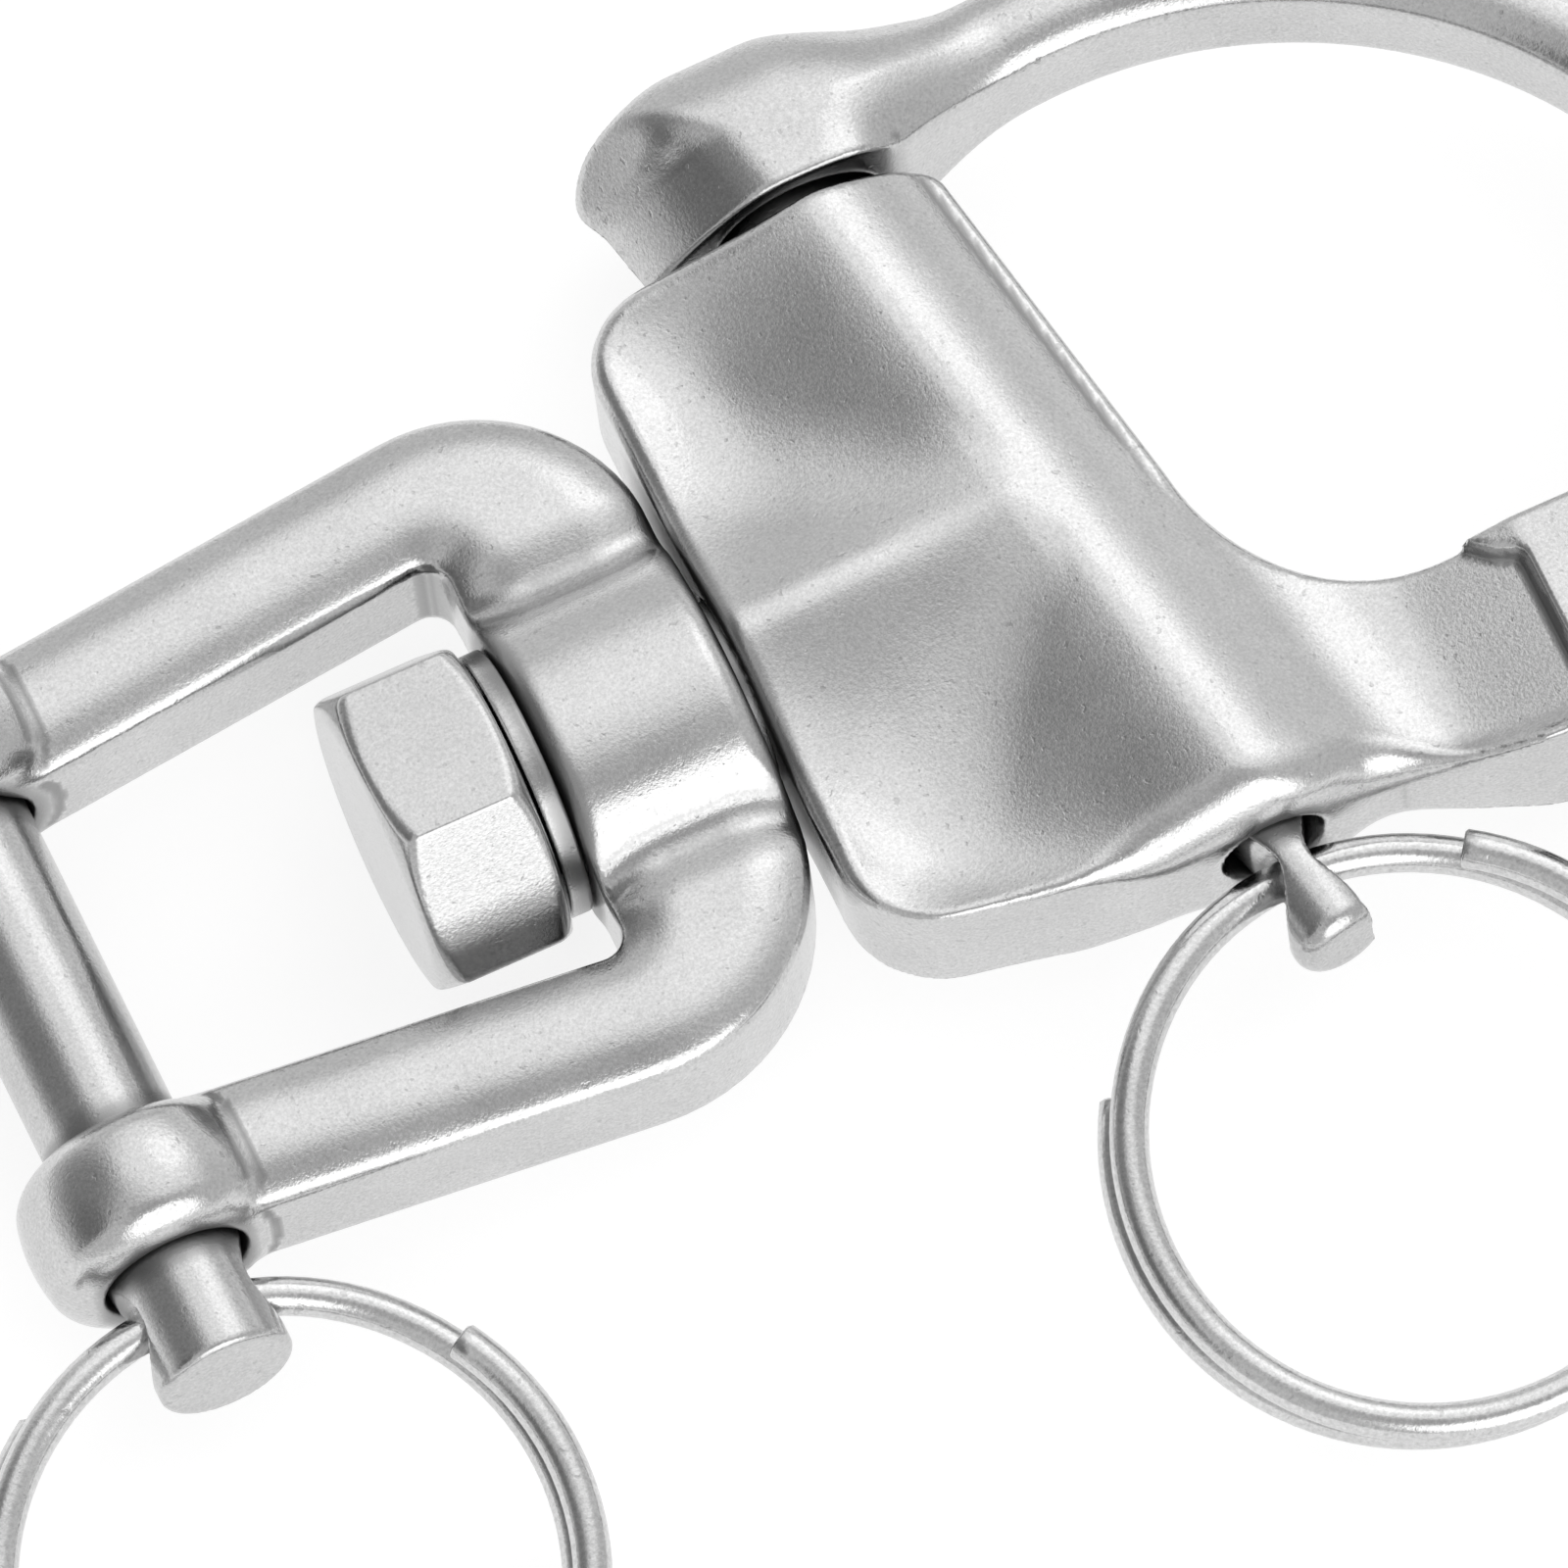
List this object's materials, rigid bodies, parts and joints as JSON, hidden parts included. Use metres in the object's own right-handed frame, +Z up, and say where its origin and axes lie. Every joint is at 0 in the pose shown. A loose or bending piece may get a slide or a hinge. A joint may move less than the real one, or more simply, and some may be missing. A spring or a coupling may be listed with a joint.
{
  "type": "snap shackle",
  "caption": "Cast stainless snap shackle: a fork with clevis pin swivels on a flat body, and a hinged bail is latched by a spring plunger with a pull ring.",
  "frame": {"origin": "on the bench under the middle of the shackle's bounding box, as it lies flat with its bail latched", "axes": "+X along the swivel axis from the fork to the bail, +Y across the body towards the bail's latched end, +Z up from the bench"},
  "size_m": [0.096, 0.0684, 0.0135],
  "materials": {
    "cast_stainless": "investment cast, tumbled and satin polished",
    "turned_stainless": "turned and polished",
    "spring_stainless": "bright drawn wire"
  },
  "bodies": {
    "body": {"body": "cast_stainless", "swivel_bolt": "turned_stainless", "head_washer": "turned_stainless", "hinge_rivet": "turned_stainless", "plunger_spring": "spring_stainless"},
    "jaw": {"jaw": "cast_stainless"},
    "clevis_pin": {"clevis_pin": "turned_stainless"},
    "clevis_ring": {"clevis_ring": "spring_stainless"},
    "bail": {"bail": "cast_stainless"},
    "plunger": {"plunger": "turned_stainless"},
    "pull_ring": {"pull_ring": "spring_stainless"}
  },
  "joints": [
    {"name": "jaw_swivel", "type": "hinge", "parent": "body", "child": "jaw", "pos_m": [-0.0018, 0.00883, 0.00676], "axis": [1, 0, 0], "continuous": true},
    {"name": "clevis_pin_turn", "type": "hinge", "parent": "jaw", "child": "clevis_pin", "pos_m": [-0.0335, 0.00883, 0.00676], "axis": [0, 1, 0], "continuous": true},
    {"name": "clevis_ring_swing", "type": "hinge", "parent": "clevis_pin", "child": "clevis_ring", "pos_m": [-0.0335, -0.00697, 0.00676], "axis": [-0.9945, 0.1045, 0], "range_deg": [-65, 85]},
    {"name": "bail_hinge", "type": "hinge", "parent": "body", "child": "bail", "pos_m": [0.0352, -0.00447, 0.00676], "axis": [0, 0, -1], "range_deg": [0, 95]},
    {"name": "plunger_slide", "type": "slide", "parent": "body", "child": "plunger", "axis": [0.1702, -0.9854, 0], "range_m": [0, 0.005], "stiffness_N_per_m": 2000, "springref_m": -0.0025, "deforming": ["plunger_spring"]},
    {"name": "pull_ring_swing", "type": "hinge", "parent": "plunger", "child": "pull_ring", "pos_m": [0.01557, -0.00893, 0.00676], "axis": [-1, 0, 0], "range_deg": [-52, 70]}
  ]
}
